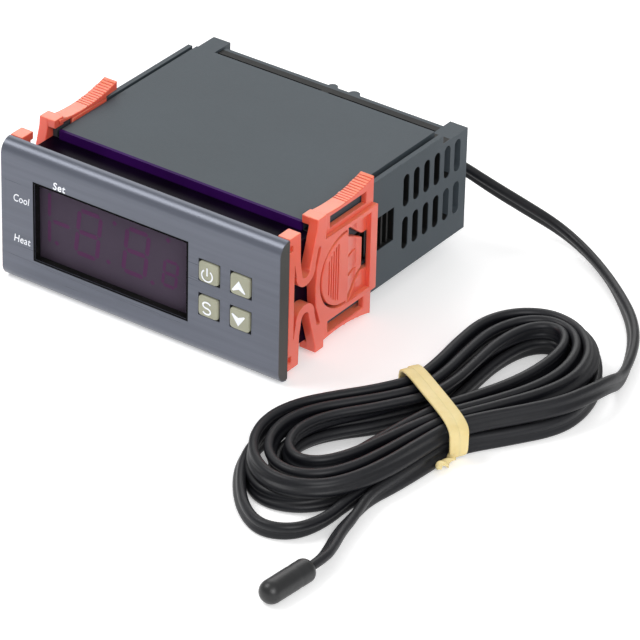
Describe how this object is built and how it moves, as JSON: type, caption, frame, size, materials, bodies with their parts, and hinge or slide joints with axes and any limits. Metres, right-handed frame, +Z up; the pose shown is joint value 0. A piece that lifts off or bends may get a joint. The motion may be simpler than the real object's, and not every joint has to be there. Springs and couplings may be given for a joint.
{
  "type": "temperature controller",
  "caption": "Panel-mount digital temperature controller with smoked display window, push buttons, sliding red panel clips and a coiled flat sensor lead with a capsule probe.",
  "frame": {"origin": "on the resting surface, under the middle of the controller's width and depth, its lead left out", "axes": "+X to the right seen from the front, +Y from the front to the rear, +Z up"},
  "size_m": [0.1361, 0.1568, 0.0354],
  "materials": {
    "film": "brushed grey film",
    "bezel_plastic": "smooth moulding",
    "smoked_lens": "smoked, glossy",
    "violet_plastic": "glossy",
    "housing_plastic": "fine grain",
    "clip_plastic": "satin red moulding",
    "button_plastic": "satin",
    "plunger_plastic": "smooth",
    "switch_case": "smooth",
    "terminal_plastic": "smooth",
    "screw_steel": "plated",
    "board": "coated glass-fibre laminate",
    "display_case": "smooth",
    "segment": "unlit",
    "chip": "moulded",
    "core_steel": "stacked laminations",
    "winding": "taped copper winding",
    "relay_case": "smooth",
    "capacitor_can": "sleeved can",
    "disc_coat": "dipped coating",
    "cord_rubber": "satin insulation",
    "band_rubber": "natural rubber",
    "probe_rubber": "satin moulding"
  },
  "bodies": {
    "controller": {"front_bezel": "bezel_plastic", "front_overlay": "film", "display_window": "smoked_lens", "tinted_collar": "violet_plastic", "housing": "housing_plastic", "rear_cover": "housing_plastic", "terminal_block": "terminal_plastic", "terminal_screws": "screw_steel", "tact_switches": "switch_case", "display_board": "board", "led_display": "display_case", "display_segments": "segment", "status_lamps": "segment", "main_board": "board", "board_connector": "chip", "microcontroller": "chip", "transformer_core": "core_steel", "transformer_winding": "winding", "relay": "relay_case", "filter_capacitor": "capacitor_can", "buzzer": "chip", "surge_disc": "disc_coat", "cord_grommet": "cord_rubber", "probe_cord": "cord_rubber", "cord_hank": "cord_rubber", "probe_cord_tail": "cord_rubber", "rubber_band": "band_rubber", "sensor_probe": "probe_rubber"},
    "left_panel_clip": {"left_clip": "clip_plastic"},
    "right_panel_clip": {"right_clip": "clip_plastic"},
    "power_key": {"power_button": "button_plastic", "power_plunger": "plunger_plastic"},
    "up_key": {"up_button": "button_plastic", "up_plunger": "plunger_plastic"},
    "set_key": {"set_button": "button_plastic", "set_plunger": "plunger_plastic"},
    "down_key": {"down_button": "button_plastic", "down_plunger": "plunger_plastic"}
  },
  "joints": [
    {"name": "left_clip_slide", "type": "slide", "parent": "controller", "child": "left_panel_clip", "axis": [0, 1, 0], "range_m": [0, 0.0148]},
    {"name": "right_clip_slide", "type": "slide", "parent": "controller", "child": "right_panel_clip", "axis": [0, 1, 0], "range_m": [0, 0.0148]},
    {"name": "power_press", "type": "slide", "parent": "controller", "child": "power_key", "axis": [0, 1, 0], "range_m": [0, 0.00035], "stiffness_N_per_m": 400},
    {"name": "up_press", "type": "slide", "parent": "controller", "child": "up_key", "axis": [0, 1, 0], "range_m": [0, 0.00035], "stiffness_N_per_m": 400},
    {"name": "set_press", "type": "slide", "parent": "controller", "child": "set_key", "axis": [0, 1, 0], "range_m": [0, 0.00035], "stiffness_N_per_m": 400},
    {"name": "down_press", "type": "slide", "parent": "controller", "child": "down_key", "axis": [0, 1, 0], "range_m": [0, 0.00035], "stiffness_N_per_m": 400}
  ]
}
